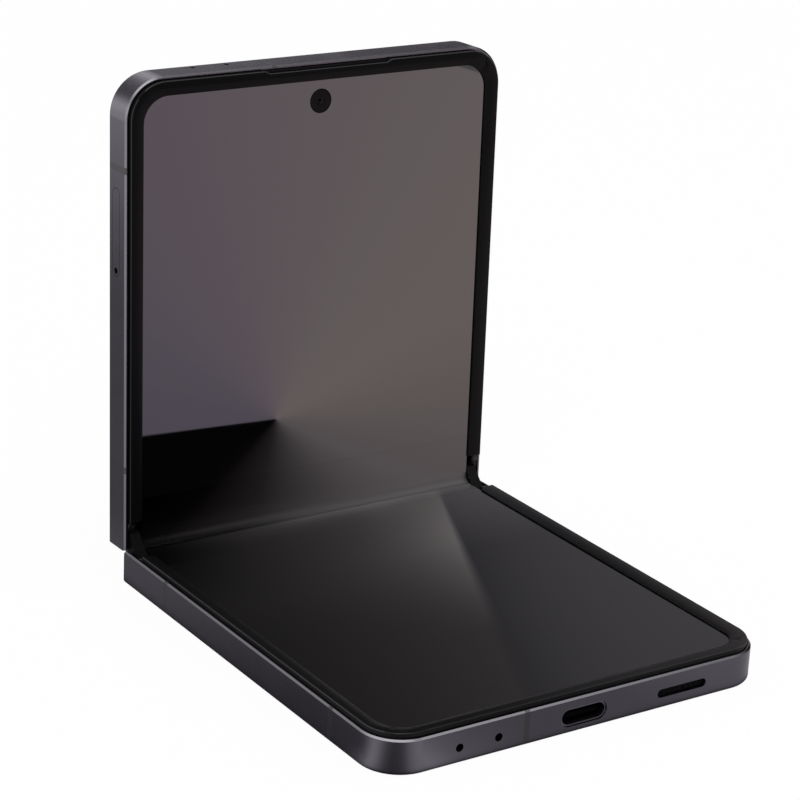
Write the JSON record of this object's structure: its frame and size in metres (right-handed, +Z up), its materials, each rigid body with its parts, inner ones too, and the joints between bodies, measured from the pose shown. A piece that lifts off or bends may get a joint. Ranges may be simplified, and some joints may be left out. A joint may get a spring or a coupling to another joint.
{
  "type": "foldable smartphone",
  "caption": "Clamshell smartphone with a folding inner display and a geared two-axis hinge, standing half open with one half flat and the other upright.",
  "frame": {"origin": "centre of the outer face of the lower half's back glass, which is what the phone lies on", "axes": "+X along the fold, to the right of a person who faces the display; +Y from the free end of the lower half to the hinge; +Z up, away from the lower half's back"},
  "size_m": [0.0755, 0.0918, 0.0892],
  "materials": {
    "frame_metal": "satin",
    "antenna_plastic": "matte",
    "bezel_plastic": "satin",
    "display_glass": "gloss",
    "back_glass": "satin",
    "battery_pouch": "matte",
    "circuit_board": "satin",
    "steel_part": "satin",
    "gear_metal": "satin",
    "module_plastic": "matte",
    "copper_part": "satin",
    "flash_lens": "gloss",
    "tray_rubber": "matte"
  },
  "bodies": {
    "lower_half": {"lower_frame": "frame_metal", "lower_antenna_bands": "antenna_plastic", "lower_bezel": "bezel_plastic", "lower_display": "display_glass", "lower_back_glass": "back_glass", "lower_battery": "battery_pouch", "sub_board": "circuit_board", "usb_shell": "steel_part", "usb_tongue": "module_plastic", "speaker_module": "module_plastic", "speaker_mesh": "module_plastic", "bottom_microphones": "module_plastic", "vibration_motor": "steel_part", "charging_coil": "copper_part", "lower_support_plate": "steel_part", "lower_hinge_arms": "steel_part", "lower_arm_screws": "steel_part", "sub_board_screws": "steel_part"},
    "hinge_spine": {"spine_cover": "frame_metal", "hinge_bases": "steel_part", "hinge_end_caps": "bezel_plastic", "disc_springs": "steel_part", "retaining_clips": "steel_part", "base_screws": "steel_part", "display_fold": "display_glass", "hinge_flex_cables": "copper_part"},
    "idler_1": {"idler_gear_1": "gear_metal"},
    "idler_2": {"idler_gear_2": "gear_metal"},
    "idler_3": {"idler_gear_3": "gear_metal"},
    "idler_4": {"idler_gear_4": "gear_metal"},
    "upper_half": {"upper_frame": "frame_metal", "upper_antenna_bands": "antenna_plastic", "upper_bezel": "bezel_plastic", "upper_display": "display_glass", "upper_back_glass": "back_glass", "cover_display": "back_glass", "upper_battery": "battery_pouch", "main_board": "circuit_board", "board_shields": "steel_part", "selfie_camera": "module_plastic", "rear_camera_modules": "module_plastic", "rear_camera_rings": "frame_metal", "rear_camera_lenses": "back_glass", "flash_window": "flash_lens", "earpiece_receiver": "module_plastic", "earpiece_mesh": "module_plastic", "top_microphones": "module_plastic", "sim_reader": "steel_part", "sim_ejector": "steel_part", "key_switches": "copper_part", "upper_support_plate": "steel_part", "upper_hinge_arms": "steel_part", "upper_arm_screws": "steel_part", "main_board_screws": "steel_part"},
    "card_tray": {"sim_tray": "frame_metal", "sim_tray_gasket": "tray_rubber"},
    "volume_rocker_body": {"volume_rocker": "frame_metal"},
    "side_key_body": {"side_key": "frame_metal"}
  },
  "joints": [
    {"name": "lower_hinge", "type": "hinge", "parent": "lower_half", "child": "hinge_spine", "pos_m": [0, 0.03965, 0.005], "axis": [-1, 0, 0], "range_deg": [-45.5, 44.5], "deforming": ["display_fold", "hinge_flex_cables"]},
    {"name": "upper_hinge", "type": "hinge", "parent": "hinge_spine", "child": "upper_half", "pos_m": [0, 0.04257, 0.00787], "axis": [-1, 0, 0], "range_deg": [-45.5, 44.5], "deforming": ["display_fold", "hinge_flex_cables"]},
    {"name": "idler_1_spin", "type": "hinge", "parent": "hinge_spine", "child": "idler_1", "pos_m": [0, 0.04129, 0.00283], "axis": [-1, 0, 0], "range_deg": [-112, 112]},
    {"name": "idler_2_spin", "type": "hinge", "parent": "hinge_spine", "child": "idler_2", "pos_m": [0, 0.04243, 0.00395], "axis": [-1, 0, 0], "range_deg": [-112, 112]},
    {"name": "idler_3_spin", "type": "hinge", "parent": "hinge_spine", "child": "idler_3", "pos_m": [0, 0.04357, 0.00507], "axis": [-1, 0, 0], "range_deg": [-112, 112]},
    {"name": "idler_4_spin", "type": "hinge", "parent": "hinge_spine", "child": "idler_4", "pos_m": [0, 0.04471, 0.0062], "axis": [-1, 0, 0], "range_deg": [-112, 112]},
    {"name": "card_tray_slide", "type": "slide", "parent": "upper_half", "child": "card_tray", "axis": [-1, 0, 0], "range_m": [0, 0.02]},
    {"name": "volume_rocker_tilt", "type": "hinge", "parent": "upper_half", "child": "volume_rocker_body", "pos_m": [0.0352, 0.04575, 0.06213], "axis": [0, -0.9998, 0.0175], "range_deg": [-1, 1], "stiffness_Nm_per_rad": 0.75},
    {"name": "side_key_press", "type": "slide", "parent": "upper_half", "child": "side_key_body", "axis": [-1, 0, 0], "range_m": [0, 0.0002], "stiffness_N_per_m": 8000}
  ],
  "couplings": [
    {"joint": "upper_hinge", "follows": "lower_hinge", "ratio": 1},
    {"joint": "idler_1_spin", "follows": "lower_hinge", "ratio": 2.4},
    {"joint": "idler_2_spin", "follows": "lower_hinge", "ratio": -2.4},
    {"joint": "idler_3_spin", "follows": "lower_hinge", "ratio": 2.4},
    {"joint": "idler_4_spin", "follows": "lower_hinge", "ratio": -2.4}
  ]
}
